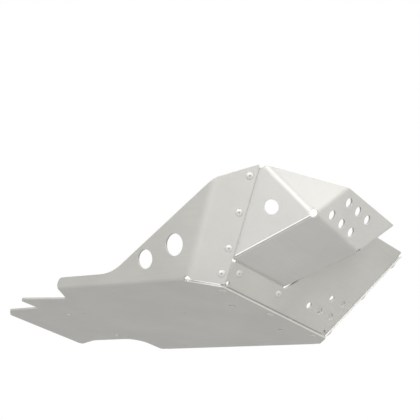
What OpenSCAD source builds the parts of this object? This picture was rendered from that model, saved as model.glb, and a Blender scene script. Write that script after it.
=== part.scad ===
// Motorcycle skid plate: three folded aluminium sheets held together by blind rivets.
// +X points to the front wheel, +Y to the rider's left and +Z up. The underside of the floor is z = 0,
// and x = 0 is the line through the two front mounting holes.

/* [Sheet] */
// Thickness of every sheet
sheet_t = 3; // [2:0.5:4]
// Outside radius of the bends round the floor and the front panel
bend_r = 6; // [4.5:0.5:8]
// Outside radius of the soft bend between each side wing and its corner flap
corner_bend_r = 20; // [12:1:26]
// Outside radius of the bends of the header guard
guard_bend_r = 8; // [5:0.5:10]
// Outside radius of the soft bend between the guard's brow and cheek
brow_bend_r = 13; // [8:0.5:16]
// Width of the open joint where two edges of the guard meet
slit_w = 2.2; // [1:0.2:3]
// Clearance between the guard's left side and the opening it passes through
opening_gap = 2.4; // [1.6:0.2:3]

/* [Floor] */
// Width across the two side fold lines
floor_w = 320; // [300:5:340]
// Length from the front edge to the rear edge
floor_l = 505; // [480:5:530]
// Distance from the front edge to the front mounting holes
front_edge_x = 46; // [38:1:54]
// Right end of the front edge, in from the side fold line
front_right_in = 39; // [36:1:44]
// Left end of the front edge, in from the side fold line
front_left_in = 28; // [24:1:32]
// How far back the right corner is cut
corner_back_right = 38; // [34:1:44]
// How far back the left corner is cut
corner_back_left = 27; // [24:1:34]
// Distance from the front edge to the rear end of the right wing
right_wing_end = 293; // [270:1:300]
// Distance from the front edge to the rear end of the left wing
left_wing_end = 345; // [310:1:350]
// Front end of the side tab behind the right wing, from the front edge
tab_start = 316; // [305:1:325]
// Rear end of that tab, from the front edge
tab_end = 412; // [395:1:420]
// Front end of the tab's outer edge, in from the side fold line
tab_in = 44; // [36:1:50]
// How much further out the tab's outer edge is at its rear
tab_splay = 14; // [5:1:18]
// Corner radius of the tab
tab_r = 13; // [6:1:16]
// Distance of the tail's right edge from the centreline
tail_right = 80; // [70:1:90]
// Distance of the tail's left corner from the centreline
tail_left = 112; // [104:1:120]
// Size of the cut at the tail's right corner
tail_cut = 21; // [10:1:30]
// Start of the cut-out in the left edge, from the front edge
cutout_start = 357; // [352:1:370]
// End of that cut-out, from the front edge
cutout_end = 457; // [440:1:470]
// Distance of the cut-out's inner edge from the centreline
cutout_y = 94; // [88:1:100]
// Radius of the cut-out's front corner
cutout_r = 28; // [15:1:34]
// Radius where the cut-out runs out towards the tail
cutout_end_r = 50; // [20:5:80]
// Radius of the floor's other corners
floor_corner_r = 5; // [2:0.5:8]

/* [Mounting holes] */
// Diameter of the four mounting holes
mount_hole_d = 10.5; // [8.5:0.5:12]
// Distance between the two front mounting holes
front_pair = 122; // [110:1:130]
// Middle of the front pair, left of the centreline
front_pair_y = 19; // [10:1:24]
// Distance between the two rear mounting holes
rear_pair = 116; // [100:1:120]
// Middle of the rear pair, left of the centreline
rear_pair_y = 12; // [5:1:18]
// Distance from the front pair to the rear pair
pair_spacing = 336; // [325:1:345]
// Diameter of the small drain holes
drain_d = 4; // [3:0.5:6]
// Distance of the two left drain holes from the side fold line
drain_in = 19; // [14:1:26]
// How far the last drain hole lies behind the cut-out's start
drain_back = 11; // [6:1:16]
// Distance of the last drain hole from the cut-out's inner edge
drain_side = 10; // [6:1:16]

/* [Right wing] */
// How far the right wing flares out from upright, in degrees
right_flare = 17.3; // [12:0.1:22]
// How far the right flap's fold line leans forward, in degrees
right_lean = 21.2; // [16:0.1:26]
// How far the right flap is folded inwards, in degrees
right_fold = 46; // [42:1:50]
// Height of the low lip along the rear of each wing
lip_h = 18; // [15:0.5:24]
// Slope of the wing's upper edge, in degrees
ramp_angle = 31; // [26:0.5:34]
// Radius where the lip runs into the slope
ramp_r = 80; // [40:5:110]
// Height of each wing at its front corner, measured along the sheet
wing_h = 138.6; // [125:0.1:150]
// Radius of the wing's rear corner
wing_corner_r = 12; // [6:0.5:13]
// Diameter of the front round window
window_front_d = 32; // [24:1:36]
// Distance of the front window from the front edge
window_front_back = 55.4; // [52:0.2:60]
// Height of the front window up the sheet
window_front_up = 51.2; // [44:0.2:56]
// Diameter of the rear round window
window_rear_d = 28; // [20:1:32]
// Distance of the rear window from the front edge
window_rear_back = 111.7; // [106:0.1:118]
// Height of the rear window up the sheet
window_rear_up = 34.5; // [28:0.5:38]

/* [Left wing] */
// How far the left wing flares out from upright, in degrees
left_flare = 24; // [18:0.5:27]
// How far the left flap's fold line leans forward, in degrees
left_lean = 25; // [20:0.5:28]
// How far the left flap is folded inwards, in degrees
left_fold = 38.5; // [35:0.5:42]

/* [Corner flaps] */
// Distance from the front edge to the foot of each flap's fold line
flap_back = 32.4; // [28:0.2:36]
// Width of the right flap at its foot
right_flap_w = 52.5; // [48:0.5:56]
// How much wider the right flap gets for each 100 mm of height
right_flap_widening = 2.7; // [0:0.1:3.5]
// Width of the left flap
left_flap_w = 42.3; // [38:0.1:46]
// Height of a flap's lower edge at its fold line
flap_low = 1.5; // [1:0.1:4]
// How far the lower edge of a flap rises towards the seam
flap_foot_rise = 4.3; // [3.8:0.1:8]
// Radius of the relief hole at the foot of each fold line
foot_relief_r = 5; // [3:0.5:6]
// Depth of the notch at the top of the right seam
notch_d = 6; // [4:0.5:9]
// How far in front of the seam the notch is deepest
notch_out = 3.5; // [0:0.5:5]

/* [Front panel] */
// Slope of the front panel, in degrees from level
panel_slope = 63; // [60:0.5:66]
// Length of the front panel up its slope
panel_l = 170; // [160:1:180]
// Radius of the front panel's upper corners
panel_corner_r = 2.5; // [1:0.5:8]
// Height up the slope of the strip below the exhaust opening
strip_h = 36; // [32:0.5:40]
// Left end of that strip, right of the centreline
strip_end = 2; // [0:0.5:8]
// Depth of the flange under the front panel
foot_flange = 24; // [20:1:30]
// Depth of the flanges that the rivets go through
seam_flange = 22; // [18:1:26]
// Diameter of the round vents in the front panel
vent_d = 10.4; // [8:0.2:12]
// Distance between vents in a row
vent_pitch = 27.8; // [24:0.2:32]
// Distance between the two rows of vents, up the slope
vent_rise = 24.9; // [20:0.1:30]
// Height of the lower row of vents, up the slope
vent_low = 30.5; // [26:0.5:36]
// First vent of the lower row, in from the left side fold line
vent_in = 98; // [92:1:104]
// How far the upper row is shifted to the left
vent_shift = 38.8; // [30:0.1:44]

/* [Header guard] */
// Slope of the guard's floor, in degrees from level
guard_slope = 30; // [27:0.5:33]
// Right corner of the guard's nose, up the guard's floor
nose_right_reach = 133; // [125:1:140]
// Right corner of the nose, in from the side fold line
nose_right_in = 56; // [50:1:62]
// Left corner of the guard's nose, up the guard's floor
nose_left_reach = 114; // [106:1:122]
// Left corner of the nose, left of the centreline
nose_left_y = 30; // [24:1:36]
// Bend between the guard's floor and its nose panel, in degrees
nose_fold = 40; // [36:1:44]
// Slant of the nose panel's right edge, in degrees
nose_slant_right = 56; // [52:1:60]
// Slant of the nose panel's left edge, in degrees
nose_slant_left = 54; // [50:1:58]
// Height of the guard's rim above the floor's underside, at the front edge
rim_z = 155.5; // [150:0.5:162]
// Fall of the rim towards the left, in degrees
rim_fall_left = 1.35; // [0:0.05:3]
// Rise of the rim towards the front, in degrees
rim_rise_front = 1.13; // [0:0.05:3]
// Width of the guard's right cheek at the rim
cheek_rim_w = 9.9; // [8:0.1:16]
// Diameter of the round window in the right cheek
cheek_window_d = 21; // [14:1:26]
// Distance of that window from the seam
cheek_window_out = 31.5; // [26:0.5:36]
// Height of that window along the seam, from the fold line's foot
cheek_window_up = 129.5; // [120:0.5:138]
// Radius of the relief hole at the nose's right corner
nose_relief_r = 6.2; // [5.8:0.2:7]
// Diameter of the six holes in the nose panel
nose_hole_d = 14.2; // [10:0.2:16]
// Distance between those holes in a row
nose_hole_pitch = 29.5; // [26:0.5:32]
// First hole of the lower row, from the nose's right corner
nose_hole_first = 36.5; // [32:0.5:40]
// Height of the lower row above the nose fold
nose_hole_low = 15.2; // [13:0.2:18]
// Distance between the two rows
nose_hole_rise = 30.4; // [26:0.2:34]
// How far the upper row is shifted to the left
nose_hole_shift = 21.5; // [16:0.5:26]

/* [Rivets] */
// Diameter of a rivet's body
rivet_d = 6; // [4.8:0.4:6.4]
// Diameter of a rivet's domed head
rivet_head_d = 11.4; // [10:0.2:13]
// Height of a rivet's head
rivet_head_h = 1.5; // [1.2:0.1:2.4]
// Diameter of the bulge that forms behind the sheets
rivet_bulge_d = 8.8; // [7.6:0.2:9.4]
// Length of that bulge
rivet_bulge_l = 6; // [4:0.5:8]
// Diameter of the pin left inside a rivet
pin_d = 2.8; // [2.4:0.1:3.4]
// Distance of the seam rivets from the seam
rivet_inset = 9.3; // [8.5:0.1:12]
// Distance of the foot rivets from the front edge
foot_rivet_x = 11; // [10.5:0.5:14]
// Right foot rivet, in from the side fold line
foot_rivet_right_in = 52.3; // [50:0.1:60]
// Middle foot rivet, left of the centreline
foot_rivet_mid = 4.9; // [0:0.1:10]
// Left foot rivet, in from the side fold line
foot_rivet_left_in = 45.7; // [44:0.1:56]
// Right guard rivet, in from the side fold line
guard_rivet_in = 55.4; // [53:0.1:62]
// Left guard rivet, in from the end of the strip
guard_rivet_end = 8.9; // [8:0.1:14]
// Distance of the guard rivets from the strip's upper edge
guard_rivet_down = 11; // [9:0.5:14]
// Lowest rivet of the right seam, from the fold line's foot
right_rivet_low = 20; // [18:0.5:24]
// Distance from there to the second rivet
right_rivet_second = 37; // [35:0.5:42]
// Distance from the second rivet to the third
right_rivet_third = 52.6; // [44:0.2:58]
// Lowest rivet of the left seam, from the fold line's foot
left_rivet_low = 16.7; // [16:0.1:24]
// Distance from there to the middle rivet of the left seam
left_rivet_mid = 77.9; // [66:0.1:84]
// Distance of the highest rivet of each seam from the flap's upper edge
rivet_top_in = 19.2; // [14:0.2:26]

/* [Hidden] */
$fn = 64;
RIGHT = -1;
LEFT = 1;
DOWN = [0, 0, -1];
// Radius of a drilled relief where three folds meet
relief_r = 4.2;
// How far the relief at a fold line's foot lies behind it
foot_relief_back = 3;
// Place of the relief at each lower corner of the front panel: in from the corner, up the slope
panel_relief_in = 5.5;
panel_relief_up = 4.5;
// Clearance round a rivet's body, and round the pin inside it
rivet_clear = 0.1;
pin_clear = 0.05;
// How far the pin's broken end lies below the top of the head, in a flared mouth
mouth_d = 0.4;
// The pin's own head, behind the bulge
pin_head_l = 1.6;
pin_head_d = 5.4;
// Clearance between two sheets that lie on each other, and under a rivet's head and bulge
lap_gap = 0.05;
seat_gap = 0.02;
lap_t = sheet_t + lap_gap;
stack_t = sheet_t + lap_t + 2 * seat_gap;
// Largest angle of one step along a rounded corner
arc_step = 7.5;
// A bend is this much inside the faces of its two sheets, and runs this far into each of them
bend_skin = 0.02;
lap_angle = 20;
// How much a bend stops short of each end of its fold line
bend_end = 0.3;
// Longer than any cut that has to go right through
far = 500;

function unit(v) = v / norm(v);
// v turned about the unit axis k by a degrees
function turn(v, k, a) = v * cos(a) + cross(k, v) * sin(a) + k * ((k * v) * (1 - cos(a)));
// Where the line through p along d meets the plane through q with normal n
function hit(p, d, q, n) = p + d * (((q - p) * n) / (d * n));
// A point on the line where two planes meet
function crossing(n1, q1, n2, q2) = let (d = cross(n1, n2))
    (cross(n2, d) * (n1 * q1) + cross(d, n1) * (n2 * q2)) / (d * d);
// How far a bend of radius r reaches from the fold line into each face
function setback(na, nb, r) = r * tan(acos(na * nb) / 2);
// Points in space as flat coordinates on the plane through o with normal n
function flat(pts, o, x, n) = let (y = cross(n, x)) [for (p = pts) [(p - o) * x, (p - o) * y]];
function area2(q) = let (n = len(q))
    [for (i = [0:n - 1]) q[i].x * q[(i + 1) % n].y - q[(i + 1) % n].x * q[i].y] * [for (i = [0:n - 1]) 1];
// Inward normal of a flat outline's edge i, where s tells which way round it runs
function edge_normal(q, i, s) = let (e = unit(q[(i + 1) % len(q)] - q[i])) [-e.y, e.x] * s;
// A flat outline with each edge moved inwards by its own distance
function inset(q, d) = let (n = len(q), s = sign(area2(q)))
    [for (i = [0:n - 1]) let (j = (i + n - 1) % n, a = edge_normal(q, j, s), b = edge_normal(q, i, s),
        det = a.x * b.y - a.y * b.x)
        q[i] + [(d[j] * b.y - d[i] * a.y) / det, (d[i] * a.x - d[j] * b.x) / det]];

// Stands a shape on the plane through o, with its x along x and its z along n
module on_plane(o, x, n) {
    y = cross(n, x);
    multmatrix([[x.x, y.x, n.x, o.x], [x.y, y.y, n.y, o.y], [x.z, y.z, n.z, o.z], [0, 0, 0, 1]]) children();
}

function turned(v, a) = [v.x * cos(a) - v.y * sin(a), v.x * sin(a) + v.y * cos(a)];
// The points of one corner of an outline, from previous point o over p to next point q, rounded by r
function corner(o, p, q, r) = r <= 0 ? [p] : let (a = unit(o - p), b = unit(q - p), half = acos(a * b) / 2,
    way = (q.x - p.x) * (p.y - o.y) > (q.y - p.y) * (p.x - o.x) ? -1 : 1,
    c = p + unit(a + b) * (r / sin(half)), steps = ceil((180 - 2 * half) / arc_step))
    [for (k = [0:steps]) c + turned(p + a * (r / tan(half)) - c, way * (180 - 2 * half) * k / steps)];
// A flat outline whose corners are rounded, each by its own radius
function rounded(pts, radii) = let (n = len(pts))
    [for (i = [0:n - 1]) each corner(pts[(i + n - 1) % n], pts[i], pts[(i + 1) % n], radii[i])];

// A sheet whose outer face has the given corners in space, each edge moved in by its own distance
module sheet(pts, n, d) {
    x = unit(pts[1] - pts[0]);
    on_plane(pts[0] - n * sheet_t, x, n) linear_extrude(sheet_t) polygon(inset(flat(pts, pts[0], x, n), d));
}

// The bend that joins two outer faces that turn away from each other, along their fold line from p to q
module bend(p, q, na, nb, r) {
    arc(p - (na + nb) * (r / (1 + na * nb)), q - p, na, nb, r - sheet_t);
}

// The bend that joins two outer faces that turn towards each other; r is its inside radius
module valley(p, q, na, nb, r) {
    arc(p + (na + nb) * (r / (1 + na * nb)), q - p, -na, -nb, r);
}

module arc(centre, along, na, nb, r_in) {
    d = unit(along);
    first = cross(na, nb) * d > 0 ? na : nb;
    run_in = lap_angle / (r_in + sheet_t);
    on_plane(centre + d * bend_end, turn(first, d, -run_in), d)
        rotate_extrude(angle = acos(na * nb) + 2 * run_in)
            translate([r_in + bend_skin, 0]) square([sheet_t - 2 * bend_skin, norm(along) - 2 * bend_end]);
}

// A round cut through the sheet at p
module drill(p, n, r) {
    on_plane(p, unit(cross(n, [0.1, 1, 0.2])), n) cylinder(r = r, h = 6 * sheet_t, center = true);
}

// Everything on the outer side of a plane
module beyond(p, n) {
    on_plane(p, unit(cross(n, [0.3, 1, 0.2])), n) translate([-far / 2, -far / 2, 0]) cube(far);
}

// Moves a shape made from the front edge to the part's own origin
module placed() {
    translate([front_edge_x, 0, 0]) children();
}

// Wings and flaps. side is RIGHT or LEFT.
function flare(side) = side == RIGHT ? right_flare : left_flare;
function lean(side) = side == RIGHT ? right_lean : left_lean;
function fold(side) = side == RIGHT ? right_fold : left_fold;
function wing_end(side) = side == RIGHT ? right_wing_end : left_wing_end;
function corner_back(side) = side == RIGHT ? corner_back_right : corner_back_left;
function wing_n(side) = [0, side * cos(flare(side)), -sin(flare(side))];
function wing_up(side) = [0, side * sin(flare(side)), cos(flare(side))];
function lean_dir(side) = [sin(lean(side)), 0, 0] + wing_up(side) * cos(lean(side));
function flap_n(side) = turn(wing_n(side), lean_dir(side), -side * fold(side));
function flap_out(side) = -side * cross(lean_dir(side), flap_n(side));
function flap_foot(side) = [-flap_back, side * floor_w / 2, 0];
// A point on a flap: out from its fold line, up along that line, and behind its outer face
function on_flap(side, out, up, depth) =
    flap_foot(side) + flap_out(side) * out + lean_dir(side) * up - flap_n(side) * depth;
function seam_out(side, up) = side == RIGHT ? right_flap_w + right_flap_widening * up / 100 : left_flap_w;
function on_seam(side, up, depth) = on_flap(side, seam_out(side, up), up, depth);
function seam_rivet(side, up) = on_flap(side, seam_out(side, up) - rivet_inset, up, 0);
function corner_top(side) = wing_h / cos(lean(side));
function floor_set(side) = setback(DOWN, wing_n(side), bend_r);
function corner_set(side) = setback(wing_n(side), flap_n(side), corner_bend_r);
// The upper edges of a wing, its bend and its flap all lie in one slanting plane
function wing_top_a(side) = flap_back - wing_h * tan(lean(side));
function ramp_a(side) = wing_top_a(side) + (wing_h - lip_h) / tan(ramp_angle);
function top_slope(side) = atan(tan(ramp_angle) * cos(flare(side)));
function top_n(side) = [-sin(top_slope(side)), 0, cos(top_slope(side))];
// Where the bend between floor and wing starts, from the front edge
function bend_front(side) = max(corner_back(side),
    flap_back + corner_set(side) / cos(lean(side)) - floor_set(side) * tan(lean(side)));

// The front panel: its outer face leans back from the front edge, and starts on top of the floor
PANEL_N = [sin(panel_slope), 0, -cos(panel_slope)];
PANEL_UP = [cos(panel_slope), 0, sin(panel_slope)];
function on_panel(y, up, depth) = [0, y, lap_t] + PANEL_UP * up - PANEL_N * depth;
// Where the panel's face meets the inner face of a flap, at a height up the slope
function panel_side(side, up) = let (q = on_flap(side, 0, 0, lap_t), p = on_panel(0, up, 0), n = flap_n(side))
    (n * q - n * p) / n.y;

// The header guard, worked out from its fold lines
GUARD_N = [sin(guard_slope), 0, -cos(guard_slope)];
GUARD_UP = [cos(guard_slope), 0, sin(guard_slope)];
guard_in_r = guard_bend_r - sheet_t;
guard_fold_up = strip_h + setback(PANEL_N, GUARD_N, guard_in_r) + 0.5;
GUARD_FOLD = on_panel(0, guard_fold_up, lap_t);
NOSE_RIGHT = GUARD_FOLD + GUARD_UP * nose_right_reach + [0, nose_right_in - floor_w / 2, 0];
NOSE_LEFT = GUARD_FOLD + GUARD_UP * nose_left_reach + [0, nose_left_y, 0];
NOSE_DIR = unit(NOSE_LEFT - NOSE_RIGHT);
NOSE_N = turn(GUARD_N, NOSE_DIR, -nose_fold);
NOSE_UP = cross(NOSE_DIR, NOSE_N) * -1;
RIM_N = unit([-tan(rim_rise_front), tan(rim_fall_left), 1]);
RIM = [0, 0, rim_z];
RIM_RIGHT_DIR = NOSE_DIR * cos(nose_slant_right) + NOSE_UP * sin(nose_slant_right);
RIM_LEFT_DIR = NOSE_DIR * cos(nose_slant_left) + NOSE_UP * sin(nose_slant_left);
RIM_RIGHT = hit(NOSE_RIGHT, RIM_RIGHT_DIR, RIM, RIM_N);
RIM_LEFT = hit(NOSE_LEFT, RIM_LEFT_DIR, RIM, RIM_N);
// The cheek folds off a flange that lies behind the right flap, just in front of the flap's edge
cheek_gap = 1;
SEAM_LOW = on_flap(RIGHT, seam_out(RIGHT, 0) + cheek_gap, 0, lap_t);
SEAM_HIGH = on_flap(RIGHT, seam_out(RIGHT, wing_h) + cheek_gap, wing_h, lap_t);
SEAM_DIR = unit(SEAM_HIGH - SEAM_LOW);
CHEEK_N = unit(cross(SEAM_DIR, NOSE_RIGHT - SEAM_LOW)) * -1;
CHEEK_OUT = cross(SEAM_DIR, CHEEK_N);
CHEEK_LOW = hit(GUARD_FOLD, [0, 1, 0], SEAM_LOW, CHEEK_N);
RIM_SEAM = hit(SEAM_LOW, SEAM_DIR, RIM, RIM_N);
RIM_CHEEK = RIM_SEAM + unit(cross(RIM_N, CHEEK_N)) * cheek_rim_w;
BROW_N = unit(cross(RIM_CHEEK - NOSE_RIGHT, RIM_RIGHT - NOSE_RIGHT)) * -1;
SIDE_LOW = GUARD_FOLD + [0, -strip_end, 0];
SIDE_N = -unit(cross(NOSE_LEFT - SIDE_LOW, RIM_LEFT - NOSE_LEFT));
// Where the panel's slanted opening edge runs, clear of the guard's left side
function opening_side(up) = let (p = on_panel(0, up, 0))
    (SIDE_N * SIDE_LOW + opening_gap - SIDE_N * p) / SIDE_N.y;

// Height of each flap's seam where its upper edge cuts it
function seam_top(side) = let (p = on_seam(side, 0, 0), n = top_n(side))
    n * (on_flap(side, 0, corner_top(side), 0) - p) / (n * (on_seam(side, 1, 0) - p));
right_rivets = [right_rivet_low, right_rivet_low + right_rivet_second,
    right_rivet_low + right_rivet_second + right_rivet_third, seam_top(RIGHT) - rivet_top_in];
left_rivets = [left_rivet_low, left_rivet_low + left_rivet_mid, seam_top(LEFT) - rivet_top_in];
foot_rivets_y = [foot_rivet_right_in - floor_w / 2, foot_rivet_mid, floor_w / 2 - foot_rivet_left_in];
guard_rivets_y = [guard_rivet_in - floor_w / 2, -strip_end - guard_rivet_end];
guard_rivet_up = strip_h - guard_rivet_down;
VENT_Y = floor_w / 2 - vent_in;

rivet_hole_r = rivet_d / 2 + rivet_clear;
panel_foot_set = setback(DOWN, PANEL_N, bend_r);
function panel_set(side) = setback(PANEL_N, flap_n(side), bend_r);
function panel_fold(side, up) = on_panel(panel_side(side, up), up, 0);
function foot_rivet(y) = [-foot_rivet_x, y, 0];
function guard_rivet(y) = on_panel(y, guard_rivet_up, 0);
front_row = [for (s = [-1, 1]) [-front_edge_x, front_pair_y + s * front_pair / 2]];
rear_row = [for (s = [-1, 1]) [-front_edge_x - pair_spacing, rear_pair_y + s * rear_pair / 2]];
// Small holes: two along the middle, two beside the left fold, one beside the cut-out
drains = [[-349.3, -44.9], [-156.5, -20.1], [-135.7, floor_w / 2 - drain_in], [-293.4, floor_w / 2 - drain_in],
    [-cutout_start - drain_back, cutout_y - drain_side]];
// Windows of a wing: distance back from the front edge, height up the sheet, diameter
windows = [[window_rear_back, window_rear_up, window_rear_d],
    [window_front_back, window_front_up, window_front_d]];
// How much each end of a flange slants inwards
flange_taper = 6;
// Height of the lower end of the flanges that the seam rivets go through
flange_low = 7;
// The left flange ends just under the flap's upper edge, and the guard's starts just above the right flange
top_gap = 3;
panel_flange_high = let (p = panel_fold(LEFT, 0), n = top_n(LEFT))
    n * (on_flap(LEFT, 0, corner_top(LEFT), 0) - p) / (n * (panel_fold(LEFT, 1) - p)) - top_gap;

module floor_outline() {
    half_r = floor_w / 2 - floor_set(RIGHT);
    half_l = floor_w / 2 - floor_set(LEFT);
    r = floor_corner_r;
    // The tab's rear edge and the tail's right edge aren't quite square to the rest
    edge_slant = 2;
    polygon(rounded([[0, front_right_in - floor_w / 2], [0, floor_w / 2 - front_left_in],
        [-corner_back_left, half_l], [-cutout_start, half_l],
        [-cutout_start, cutout_y], [-cutout_end, cutout_y], [-floor_l, tail_left],
        [-floor_l, tail_cut - tail_right], [tail_cut - floor_l, -tail_right],
        [-tab_end, -tail_right - edge_slant], [-tab_end - edge_slant, tab_in - tab_splay - floor_w / 2],
        [-tab_start, tab_in - floor_w / 2],
        [-right_wing_end, -half_r], [-corner_back_right, -half_r]],
        [r, r, r, r, cutout_r, cutout_end_r, r, r + 2, r + 2, r, tab_r, 2 * r, 0, 0]));
}

module floor_sheet() {
    linear_extrude(sheet_t) difference() {
        floor_outline();
        for (p = concat(front_row, rear_row)) translate(p) circle(d = mount_hole_d);
        for (p = drains) translate(p) circle(d = drain_d);
        for (y = foot_rivets_y) translate([-foot_rivet_x, y]) circle(rivet_hole_r);
    }
}

module wing_sheet(side) {
    x_rear = side * wing_end(side);
    outline = [[x_rear, 0], [x_rear, lip_h], [side * ramp_a(side), lip_h], [side * wing_top_a(side), wing_h],
        [side * flap_back, 0]];
    on_plane([0, side * floor_w / 2, 0] - wing_n(side) * sheet_t, [-side, 0, 0], wing_n(side))
        linear_extrude(sheet_t) difference() {
            polygon(rounded(inset(outline, [0, 0, 0, corner_set(side), floor_set(side)]),
                [0, wing_corner_r, ramp_r, 0, 0]));
            for (w = windows) translate([side * w.x, w.y]) circle(d = w.z);
        }
}

module flap(side) {
    low = flap_low;
    w = seam_out(side, low);
    difference() {
        union() {
            bend(on_flap(side, 0, low, 0), on_flap(side, 0, 2 * wing_h, 0), wing_n(side), flap_n(side),
                corner_bend_r);
            sheet([on_flap(side, 0, low, 0), on_flap(side, w, low + flap_foot_rise, 0),
                on_seam(side, 2 * wing_h, 0), on_flap(side, 0, 2 * wing_h, 0)],
                flap_n(side), [0, 0, 0, corner_set(side)]);
        }
        beyond(on_flap(side, 0, corner_top(side), 0), top_n(side));
        for (u = side == RIGHT ? right_rivets : left_rivets)
            drill(seam_rivet(side, u), flap_n(side), rivet_hole_r);
    }
}

module base_plate() {
    color([0.76, 0.76, 0.74]) placed() {
        floor_sheet();
        for (side = [RIGHT, LEFT]) difference() {
            union() {
                wing_sheet(side);
                flap(side);
                bend([-bend_front(side), side * floor_w / 2, 0], [-wing_end(side), side * floor_w / 2, 0],
                    DOWN, wing_n(side), bend_r);
            }
            drill(on_flap(side, 0, flap_low, 0) + [-foot_relief_back, 0, 0], wing_n(side), foot_relief_r);
            if (side == RIGHT) seam_notch();
        }
    }
}

module front_panel() {
    right = [panel_side(RIGHT, 0), panel_side(RIGHT, strip_h)];
    left = [panel_side(LEFT, 0), panel_side(LEFT, panel_l)];
    outline = [[right[0], 0], [left[0], 0], [left[1], panel_l], [opening_side(panel_l), panel_l],
        [opening_side(strip_h), strip_h], [right[1], strip_h]];
    foot = [right[0] + relief_r, left[0] - relief_r];
    color([0.72, 0.72, 0.71]) placed() difference() {
        union() {
            on_plane(on_panel(0, 0, sheet_t), [0, 1, 0], PANEL_N)
                linear_extrude(sheet_t) difference() {
                    polygon(rounded(inset(outline,
                        [panel_foot_set, panel_set(LEFT), 0, 0, 0, panel_set(RIGHT)]),
                        [relief_r, relief_r, panel_corner_r, panel_corner_r, panel_corner_r, 0]));
                    for (i = [0:2]) translate([VENT_Y + i * vent_pitch, vent_low]) circle(d = vent_d);
                    for (i = [0:1]) translate([VENT_Y + vent_shift + i * vent_pitch, vent_low + vent_rise])
                        circle(d = vent_d);
                }
            bend([0, foot[0], lap_t], [0, foot[1], lap_t], DOWN, PANEL_N, bend_r);
            sheet([[0, foot[0], lap_t], [0, foot[1], lap_t], [-foot_flange, foot[1] - flange_taper, lap_t],
                [-foot_flange, foot[0] + flange_taper, lap_t]], DOWN, [panel_foot_set, 0, 0, 0]);
            panel_flange(RIGHT, strip_h);
            panel_flange(LEFT, panel_flange_high);
        }
        for (side = [RIGHT, LEFT])
            drill(on_panel(panel_side(side, 0) - side * panel_relief_in, panel_relief_up, 0), PANEL_N,
                relief_r);
        for (y = foot_rivets_y) drill(foot_rivet(y), DOWN, rivet_hole_r);
        for (y = guard_rivets_y) drill(guard_rivet(y), PANEL_N, rivet_hole_r);
        drill(seam_rivet(RIGHT, right_rivets[0]), flap_n(RIGHT), rivet_hole_r);
        for (u = left_rivets) drill(seam_rivet(LEFT, u), flap_n(LEFT), rivet_hole_r);
    }
}

// The flange of the front panel that lies behind a corner flap
module panel_flange(side, top) {
    low = panel_fold(side, flange_low);
    high = panel_fold(side, top);
    back = -flap_out(side) * seam_flange;
    bend(low, high, PANEL_N, flap_n(side), bend_r);
    sheet([low, high,
        high + back - lean_dir(side) * flange_taper, low + back + lean_dir(side) * flange_taper], flap_n(side),
        [panel_set(side), 0, 0, 0]);
}

// The guard's flange stays this far inside each end of the strip that it lies behind
strip_inset = 3;
guard_flange_left = -strip_end - strip_inset;
guard_flange_right = panel_side(RIGHT, 0) + strip_inset;
// Extra height that the rim plane cuts off again
over = 14;
// How far each bend of the guard stops short of a corner where folds meet
corner_stop = 5.5;
// How far the guard's left side passes through the opening
pass_through = 4;
SIDE_UP = unit(cross(PANEL_N, SIDE_N));
SIDE_BACK = cross(SIDE_UP, SIDE_N);
CHEEK_CORNER = hit(SEAM_LOW, SEAM_DIR, GUARD_FOLD, GUARD_N);
CHEEK_FLANGE_LOW = SEAM_LOW + SEAM_DIR * ((panel_fold(RIGHT, strip_h) - SEAM_LOW) * SEAM_DIR + top_gap + 2);
side_joint = setback(GUARD_N, SIDE_N, sheet_t) + slit_w / 2;
cheek_joint = setback(GUARD_N, CHEEK_N, sheet_t) + slit_w / 2;

// Cuts a shape off at the plane of the guard's rim
module below_rim() {
    difference() {
        children();
        beyond(RIM, RIM_N);
    }
}

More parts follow.
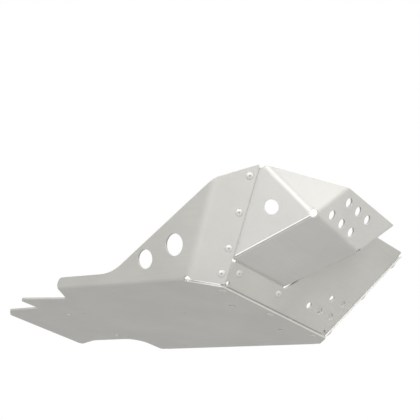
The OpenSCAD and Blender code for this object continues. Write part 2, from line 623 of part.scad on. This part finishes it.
module header_guard() {
    r = guard_bend_r;
    ri = guard_in_r;
    d = NOSE_DIR * corner_stop;
    rim_right = RIM_RIGHT + RIM_RIGHT_DIR * over;
    rim_left = RIM_LEFT + RIM_LEFT_DIR * over;
    rim_cheek = RIM_CHEEK + unit(RIM_CHEEK - NOSE_RIGHT) * over;
    rim_seam = RIM_SEAM + SEAM_DIR * over;
    fold_r = on_panel(guard_flange_right, guard_fold_up, lap_t);
    fold_l = on_panel(guard_flange_left, guard_fold_up, lap_t);
    drop = PANEL_UP * -seam_flange;
    side_rear = SIDE_LOW + SIDE_BACK * pass_through;
    color([0.84, 0.84, 0.83]) placed() difference() {
        union() {
            sheet([fold_r, fold_l, fold_l + drop, fold_r + drop], PANEL_N,
                [setback(PANEL_N, GUARD_N, ri), 0, 0, 0]);
            valley(fold_r, fold_l, PANEL_N, GUARD_N, ri);
            sheet([CHEEK_LOW, NOSE_RIGHT, NOSE_LEFT, SIDE_LOW], GUARD_N,
                [cheek_joint, setback(GUARD_N, NOSE_N, r), side_joint, setback(PANEL_N, GUARD_N, ri)]);
            bend(NOSE_RIGHT + d, NOSE_LEFT - d, GUARD_N, NOSE_N, r);
            below_rim() sheet([NOSE_RIGHT, NOSE_LEFT, rim_left, rim_right], NOSE_N,
                [setback(GUARD_N, NOSE_N, r), setback(NOSE_N, SIDE_N, r), 0, setback(NOSE_N, BROW_N, r)]);
            below_rim() bend(NOSE_RIGHT + RIM_RIGHT_DIR * corner_stop, rim_right, NOSE_N, BROW_N, r);
            below_rim() sheet([NOSE_RIGHT, rim_right, rim_cheek], BROW_N,
                [setback(NOSE_N, BROW_N, r), 0, setback(BROW_N, CHEEK_N, brow_bend_r)]);
            below_rim() bend(NOSE_RIGHT + unit(rim_cheek - NOSE_RIGHT) * (corner_stop + 2), rim_cheek,
                BROW_N, CHEEK_N, brow_bend_r);
            below_rim() sheet([CHEEK_CORNER, NOSE_RIGHT, rim_cheek, rim_seam], CHEEK_N,
                [cheek_joint, setback(BROW_N, CHEEK_N, brow_bend_r), 0, setback(CHEEK_N, flap_n(RIGHT), ri)]);
            cheek_flange(rim_seam);
            below_rim() bend(NOSE_LEFT + RIM_LEFT_DIR * corner_stop, rim_left, NOSE_N, SIDE_N, r);
            below_rim() sheet([side_rear, NOSE_LEFT, rim_left, side_rear + SIDE_UP * 2 * wing_h], SIDE_N,
                [side_joint, setback(NOSE_N, SIDE_N, r), 0, 0]);
        }
        drill(NOSE_RIGHT, unit(GUARD_N + NOSE_N + BROW_N + CHEEK_N), nose_relief_r);
        drill(NOSE_LEFT, unit(GUARD_N + NOSE_N + SIDE_N), relief_r);
        for (j = [0:1], i = [0:2])
            drill(NOSE_RIGHT + NOSE_DIR * (nose_hole_first + i * nose_hole_pitch + j * nose_hole_shift)
                + NOSE_UP * (nose_hole_low + j * nose_hole_rise), NOSE_N, nose_hole_d / 2);
        drill(SEAM_LOW + SEAM_DIR * cheek_window_up + CHEEK_OUT * cheek_window_out, CHEEK_N,
            cheek_window_d / 2);
        for (y = guard_rivets_y) drill(guard_rivet(y), PANEL_N, rivet_hole_r);
        for (i = [1:3]) drill(seam_rivet(RIGHT, right_rivets[i]), flap_n(RIGHT), rivet_hole_r);
        seam_notch();
    }
}

// The notch where the flap's and the cheek's upper edges meet
module seam_notch() {
    wide = 4 * notch_d;
    on_plane(on_seam(RIGHT, seam_top(RIGHT), 0) + flap_out(RIGHT) * notch_out, SEAM_DIR, flap_n(RIGHT))
        linear_extrude(6 * sheet_t, center = true)
            polygon([[-notch_d, 0], [wide - notch_d, -wide], [wide - notch_d, wide]]);
}

// The flange behind the right flap, and the slight bend that turns the cheek out of it
module cheek_flange(top) {
    back = -flap_out(RIGHT) * seam_flange;
    difference() {
        union() {
            sheet([CHEEK_FLANGE_LOW, top, top + back, CHEEK_FLANGE_LOW + back], flap_n(RIGHT),
                [setback(CHEEK_N, flap_n(RIGHT), guard_in_r), 0, 0, 0]);
            valley(CHEEK_FLANGE_LOW, top, flap_n(RIGHT), CHEEK_N, guard_in_r);
        }
        beyond(on_flap(RIGHT, 0, corner_top(RIGHT) - 2, 0), top_n(RIGHT));
        beyond(RIM, RIM_N);
    }
}

// A blind rivet through the given thickness, its domed head on the outer face
module rivet(p, n, grip) {
    big = (pow(rivet_head_d / 2, 2) + pow(rivet_head_h, 2)) / (2 * rivet_head_h);
    on_plane(p + n * seat_gap, unit(cross(n, [0.1, 1, 0.2])), n) difference() {
        union() {
            intersection() {
                cylinder(d = rivet_head_d, h = rivet_head_h);
                translate([0, 0, rivet_head_h - big]) sphere(big);
            }
            translate([0, 0, -grip]) cylinder(d = rivet_d, h = grip);
            translate([0, 0, -grip - rivet_bulge_l / 2]) cylinder(d = rivet_bulge_d, h = rivet_bulge_l / 2);
            translate([0, 0, -grip - rivet_bulge_l])
                cylinder(d1 = rivet_d, d2 = rivet_bulge_d, h = rivet_bulge_l / 2);
        }
        translate([0, 0, -far / 2]) cylinder(d = pin_d + 2 * pin_clear, h = far);
        translate([0, 0, rivet_head_h - mouth_d])
            cylinder(d1 = pin_d, d2 = pin_d + 2 * mouth_d, h = mouth_d + seat_gap);
    }
}

// The broken-off pin that stays inside a rivet, with its head behind the bulge
module rivet_pin(p, n, grip) {
    tail = grip + rivet_bulge_l;
    on_plane(p + n * seat_gap, unit(cross(n, [0.1, 1, 0.2])), n) {
        translate([0, 0, -tail - mouth_d]) cylinder(d = pin_d, h = tail + rivet_head_h);
        translate([0, 0, -tail - pin_head_l]) cylinder(d1 = pin_d, d2 = pin_head_d, h = pin_head_l);
    }
}

module right_seam_rivets() {
    color([0.86, 0.86, 0.86]) placed()
        for (u = right_rivets) rivet(seam_rivet(RIGHT, u), flap_n(RIGHT), stack_t);
}

module left_seam_rivets() {
    color([0.86, 0.86, 0.86]) placed()
        for (u = left_rivets) rivet(seam_rivet(LEFT, u), flap_n(LEFT), stack_t);
}

module foot_rivets() {
    color([0.86, 0.86, 0.86]) placed() for (y = foot_rivets_y) rivet(foot_rivet(y), DOWN, stack_t);
}

module guard_rivets() {
    color([0.86, 0.86, 0.86]) placed() for (y = guard_rivets_y) rivet(guard_rivet(y), PANEL_N, stack_t);
}

module right_seam_rivet_pins() {
    color([0.45, 0.46, 0.48]) placed()
        for (u = right_rivets) rivet_pin(seam_rivet(RIGHT, u), flap_n(RIGHT), stack_t);
}

module left_seam_rivet_pins() {
    color([0.45, 0.46, 0.48]) placed()
        for (u = left_rivets) rivet_pin(seam_rivet(LEFT, u), flap_n(LEFT), stack_t);
}

module foot_rivet_pins() {
    color([0.45, 0.46, 0.48]) placed() for (y = foot_rivets_y) rivet_pin(foot_rivet(y), DOWN, stack_t);
}

module guard_rivet_pins() {
    color([0.45, 0.46, 0.48]) placed() for (y = guard_rivets_y) rivet_pin(guard_rivet(y), PANEL_N, stack_t);
}

base_plate();
front_panel();
header_guard();
right_seam_rivets();
left_seam_rivets();
foot_rivets();
guard_rivets();
right_seam_rivet_pins();
left_seam_rivet_pins();
foot_rivet_pins();
guard_rivet_pins();
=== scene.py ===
import bpy
from mathutils import Matrix, Vector

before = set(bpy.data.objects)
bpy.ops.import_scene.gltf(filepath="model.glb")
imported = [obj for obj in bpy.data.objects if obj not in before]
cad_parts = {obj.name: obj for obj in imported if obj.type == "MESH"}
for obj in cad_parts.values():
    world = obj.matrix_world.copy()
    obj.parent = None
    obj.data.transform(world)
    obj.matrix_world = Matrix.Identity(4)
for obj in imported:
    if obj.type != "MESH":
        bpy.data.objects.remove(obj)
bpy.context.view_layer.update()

# The groups of rivets, and the groups of broken-off pins inside them
RIVETS = ("right_seam_rivets", "left_seam_rivets", "foot_rivets", "guard_rivets")
PINS = tuple(name[:-1] + "_pins" for name in RIVETS)

# The camera, worked out from the plate's straight edges and parallel folds in the photograph
CAMERA_PLACE = Vector((1.3306, -1.5835, -0.5437))
CAMERA_RIGHT = Vector((0.7646, 0.6242, 0.1604))
CAMERA_FORWARD = Vector((-0.6387, 0.7006, 0.3182))
FOCAL_PIXELS = 1442.86
FRAME_PIXELS = 420.0
SENSOR_MM = 36.0
CLIP_NEAR = 0.05
CLIP_FAR = 50.0

# Edges made lighter, partly as wear and partly as a painted highlight: radius in metres, rays that look
# for an edge, and how fast the lightening grows with the bend
EDGE_RADIUS = 0.0008
EDGE_SAMPLES = 6
EDGE_GAIN = 5.0

# Each noise pattern: scale per metre, detail and roughness of the pattern
ROLLING_LINES = (900.0, 4.0, 0.6)
CLOUDS = (9.0, 3.0, 0.5)
SPECKS = (1600.0, 2.0, 0.5)
SPOTS = (700.0, 3.0, 0.6)

# Stretch of the rolling lines along the sheet's length, or across it
LINES_ALONG = (0.02, 1, 1)
LINES_ACROSS = (1, 0.02, 1)

# Anodised sheet: where a pattern starts and ends to show, and the share of the base colour there
CLOUD_STOPS = ((0.36, 0.95), (0.64, 1.03))
LINE_STOPS = ((0.3, 0.94), (0.7, 1.01))
# Share of the base colour on the edges: partly wear, partly a painted highlight
SHEET_EDGE_WEAR_AND_HIGHLIGHT = 1.3
SHEET_METALLIC = 0.55
SHEET_ROUGHNESS = 0.34
LINE_ROUGHNESS = 0.16
CLOUD_ROUGHNESS = 0.10
LINE_HEIGHT = 0.7
SPECK_HEIGHT = 0.3
SHEET_BUMP = 0.10
SHEET_BUMP_DEPTH = 0.0002

# Plain metal of the rivets and pins
SPOT_STOPS = ((0.3, 0.9), (0.7, 1.0))
# Share of the base colour on the rivets' edges: partly wear, partly a painted highlight
METAL_EDGE_WEAR_AND_HIGHLIGHT = 1.2
SPOT_ROUGHNESS = 0.2
METAL_BUMP = 0.15
METAL_BUMP_DEPTH = 0.0001

# The floor: height, half its width, its colour, and the share of plain white that shows on it
FLOOR_Z = -0.68
FLOOR_HALF = 9.0
FLOOR_COLOUR = (0.8, 0.8, 0.8)
FLOOR_SEEN = 0.75

# Strength of the light that comes from all around
WORLD_STRENGTH = 0.2

# Each lamp: name, place, size in metres, power in watts and colour; all of them aim at the part
AIM = (0.05, 0.0, 0.06)
LAMPS = (
    ("key", (1.9, -2.2, -0.08), (3.4, 1.15), 43, (1, 1, 1)),
    ("front", (2.8, 0.4, 0.5), (2.4, 2.0), 9, (1, 0.97, 0.93)),
    ("left", (1.2, 2.6, 0.6), (2.4, 2.0), 6, (1, 0.97, 0.93)),
    ("side", (-0.8, -2.6, 0.6), (2.4, 2.0), 8, (1, 1, 1)),
    ("high", (2.0, -0.3, 2.1), (1.8, 1.8), 14, (1, 1, 1)),
    ("top", (-0.4, 0.4, 2.6), (3.0, 3.0), 10, (1, 1, 1)),
)


def set_camera():
    forward = CAMERA_FORWARD.normalized()
    right = (CAMERA_RIGHT - forward * CAMERA_RIGHT.dot(forward)).normalized()
    up = right.cross(forward)
    camera = bpy.data.objects.new("camera", bpy.data.cameras.new("camera"))
    bpy.context.scene.collection.objects.link(camera)
    camera.matrix_world = Matrix((
        (right.x, up.x, -forward.x, CAMERA_PLACE.x),
        (right.y, up.y, -forward.y, CAMERA_PLACE.y),
        (right.z, up.z, -forward.z, CAMERA_PLACE.z),
        (0, 0, 0, 1)))
    camera.data.sensor_fit = "HORIZONTAL"
    camera.data.sensor_width = SENSOR_MM
    camera.data.lens = FOCAL_PIXELS / FRAME_PIXELS * SENSOR_MM
    camera.data.clip_start = CLIP_NEAR
    camera.data.clip_end = CLIP_FAR
    bpy.context.scene.camera = camera


class Nodes:
    """Short calls for the node tree of one material, or of the world."""

    def __init__(self, owner, output="ShaderNodeOutputMaterial"):
        owner.use_nodes = True
        self.owner = owner
        self.tree = owner.node_tree
        self.tree.nodes.clear()
        self.out = self.add(output)

    def feed(self, socket, value):
        """Link a node's output to a socket, or set the socket's own number, vector or colour."""
        if isinstance(value, bpy.types.NodeSocket):
            self.tree.links.new(value, socket)
        elif socket.type == "RGBA":
            socket.default_value = (*value, 1)
        else:
            socket.default_value = value

    def add(self, kind, sockets=None, **settings):
        """A new node, with its settings, and what goes into its sockets by name or number."""
        node = self.tree.nodes.new(kind)
        for name, value in settings.items():
            setattr(node, name, value)
        for name, value in (sockets or {}).items():
            self.feed(node.inputs[name], value)
        return node

    def surface(self, shader):
        """Make this shader the one that shows."""
        self.feed(self.out.inputs["Surface"], shader)

    def noise(self, vector, pattern):
        scale, detail, roughness = pattern
        sockets = {"Vector": vector, "Scale": scale, "Detail": detail, "Roughness": roughness}
        return self.add("ShaderNodeTexNoise", sockets).outputs["Fac"]

    def stretch(self, vector, scale):
        return self.add("ShaderNodeMapping", {"Vector": vector, "Scale": scale}).outputs["Vector"]

    def math(self, operation, a, b, clamp=False):
        node = self.add("ShaderNodeMath", {0: a, 1: b}, operation=operation, use_clamp=clamp)
        return node.outputs[0]

    def ramp(self, source, stops):
        """A colour that goes from the first stop's to the last stop's as the source rises."""
        node = self.add("ShaderNodeValToRGB", {"Fac": source})
        for element, (place, colour) in zip(node.color_ramp.elements, stops):
            element.position = place
            element.color = (*colour, 1)
        return node.outputs["Color"]

    def mix(self, share, a, b, blend="MIX"):
        """Two colours mixed. In this node socket 0 is the share, and 6 and 7 are the colours."""
        sockets = {0: share, 6: a, 7: b}
        return self.add("ShaderNodeMix", sockets, data_type="RGBA", blend_type=blend).outputs[2]

    def bump(self, height, strength, depth, normal):
        sockets = {"Strength": strength, "Distance": depth, "Height": height, "Normal": normal}
        return self.add("ShaderNodeBump", sockets).outputs["Normal"]


def linear(colour):
    """An sRGB colour, 0 to 255, as Blender's linear values."""
    return tuple(((c / 255 + 0.055) / 1.055) ** 2.4 for c in colour)


def share_of(colour, share):
    """A colour made darker or lighter, and never above white."""
    return tuple(min(1.0, c * share) for c in colour)


def edge_wear_and_highlight(n):
    """The normal with its edges slightly rounded, and how near the nearest edge is, from 0 to 1; this
    mask lightens the edges as wear and as a painted highlight.
    """
    bevel = n.add("ShaderNodeBevel", {"Radius": EDGE_RADIUS}, samples=EDGE_SAMPLES)
    rounded = bevel.outputs["Normal"]
    flat = n.add("ShaderNodeNewGeometry").outputs["Normal"]
    alike = n.add("ShaderNodeVectorMath", {0: rounded, 1: flat}, operation="DOT_PRODUCT")
    turned = n.math("SUBTRACT", 1.0, alike.outputs["Value"])
    return rounded, n.math("MULTIPLY", turned, EDGE_GAIN, clamp=True)


def anodised(name, colour, line_stretch):
    """Satin anodised sheet: fine rolling lines along one axis, slight clouding, and lighter edges from
    wear and a painted highlight.
    """
    n = Nodes(bpy.data.materials.new(name))
    place = n.add("ShaderNodeTexCoord").outputs["Object"]
    lines = n.noise(n.stretch(place, line_stretch), ROLLING_LINES)
    clouds = n.noise(place, CLOUDS)
    specks = n.noise(place, SPECKS)
    base = linear(colour)
    tone = n.ramp(clouds, [(at, share_of(base, share)) for at, share in CLOUD_STOPS])
    streaks = n.ramp(lines, [(at, (share, share, share)) for at, share in LINE_STOPS])
    tone = n.mix(1.0, tone, streaks, "MULTIPLY")
    rounded, edge = edge_wear_and_highlight(n)
    # Painted highlight and wear: the edges take a lighter share of the base colour
    tone = n.mix(edge, tone, share_of(base, SHEET_EDGE_WEAR_AND_HIGHLIGHT))
    rough = n.math("ADD", n.math("MULTIPLY", lines, LINE_ROUGHNESS), SHEET_ROUGHNESS)
    rough = n.math("ADD", rough, n.math("MULTIPLY", clouds, CLOUD_ROUGHNESS))
    line_height = n.math("MULTIPLY", lines, LINE_HEIGHT)
    height = n.math("ADD", line_height, n.math("MULTIPLY", specks, SPECK_HEIGHT))
    n.surface(n.add("ShaderNodeBsdfPrincipled", {
        "Base Color": tone,
        "Metallic": SHEET_METALLIC,
        "Roughness": rough,
        "Normal": n.bump(height, SHEET_BUMP, SHEET_BUMP_DEPTH, rounded),
    }).outputs["BSDF"])
    return n.owner


def metal(name, colour, roughness, metallic):
    """Plain metal with small spots, and lighter edges from wear and a painted highlight."""
    n = Nodes(bpy.data.materials.new(name))
    place = n.add("ShaderNodeTexCoord").outputs["Object"]
    spots = n.noise(place, SPOTS)
    base = linear(colour)
    tone = n.ramp(spots, [(at, share_of(base, share)) for at, share in SPOT_STOPS])
    rounded, edge = edge_wear_and_highlight(n)
    # Painted highlight and wear: the edges take a lighter share of the base colour
    tone = n.mix(edge, tone, share_of(base, METAL_EDGE_WEAR_AND_HIGHLIGHT))
    n.surface(n.add("ShaderNodeBsdfPrincipled", {
        "Base Color": tone,
        "Metallic": metallic,
        "Roughness": n.math("ADD", n.math("MULTIPLY", spots, SPOT_ROUGHNESS), roughness),
        "Normal": n.bump(spots, METAL_BUMP, METAL_BUMP_DEPTH, rounded),
    }).outputs["BSDF"])
    return n.owner


def paint(node, material):
    """Give a node of the model its material."""
    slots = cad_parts[node].data.materials
    slots.clear()
    slots.append(material)


def shows_background(n):
    """1 for a ray from the camera, from a glossy surface or through glass, and 0 for the rest."""
    path = n.add("ShaderNodeLightPath").outputs
    seen = n.math("MAXIMUM", path["Is Camera Ray"], path["Is Glossy Ray"])
    return n.math("MAXIMUM", seen, path["Is Transmission Ray"])


def pale(name, colour):
    """A pale surface that takes shadow and looks nearly white, by itself and in reflections."""
    n = Nodes(bpy.data.materials.new(name))
    diffuse = n.add("ShaderNodeBsdfDiffuse", {"Color": colour})
    glow = n.add("ShaderNodeEmission")
    white = n.math("MULTIPLY", shows_background(n), FLOOR_SEEN)
    sockets = {0: white, 1: diffuse.outputs[0], 2: glow.outputs[0]}
    n.surface(n.add("ShaderNodeMixShader", sockets).outputs[0])
    return n.owner


def build_floor():
    corners = [(x * FLOOR_HALF, y * FLOOR_HALF, FLOOR_Z) for x, y in ((-1, -1), (1, -1), (1, 1), (-1, 1))]
    mesh = bpy.data.meshes.new("floor")
    mesh.from_pydata(corners, [], [(0, 1, 2, 3)])
    mesh.materials.append(pale("pale_floor", FLOOR_COLOUR))
    floor = bpy.data.objects.new("floor", mesh)
    bpy.context.scene.collection.objects.link(floor)


def build_world():
    """White where it is seen or mirrored, and a weak light from all around for the rest."""
    world = bpy.data.worlds.new("studio")
    bpy.context.scene.world = world
    n = Nodes(world, "ShaderNodeOutputWorld")
    light = n.add("ShaderNodeBackground", {"Color": (1, 1, 1), "Strength": WORLD_STRENGTH})
    white = n.add("ShaderNodeBackground", {"Color": (1, 1, 1), "Strength": 1.0})
    sockets = {0: shows_background(n), 1: light.outputs[0], 2: white.outputs[0]}
    n.surface(n.add("ShaderNodeMixShader", sockets).outputs[0])


def build_lamp(name, place, size, power, colour):
    light = bpy.data.lights.new(name, "AREA")
    light.shape = "RECTANGLE"
    light.size, light.size_y = size
    light.energy = power
    light.color = colour
    lamp = bpy.data.objects.new(name, light)
    lamp.location = place
    lamp.rotation_euler = (Vector(AIM) - Vector(place)).to_track_quat("-Z", "Y").to_euler()
    bpy.context.scene.collection.objects.link(lamp)


def paint_model():
    paint("base_plate", anodised("satin_base", (205, 204, 199), LINES_ALONG))
    paint("front_panel", anodised("satin_panel", (203, 202, 197), LINES_ACROSS))
    paint("header_guard", anodised("satin_guard", (207, 206, 202), LINES_ACROSS))
    rivet = metal("rivet_metal", (224, 223, 219), 0.38, 0.4)
    pin = metal("pin_metal", (176, 176, 174), 0.35, 0.6)
    for node in RIVETS:
        paint(node, rivet)
    for node in PINS:
        paint(node, pin)


bpy.context.scene.view_settings.view_transform = "Standard"
set_camera()
build_world()
build_floor()
for row in LAMPS:
    build_lamp(*row)
paint_model()
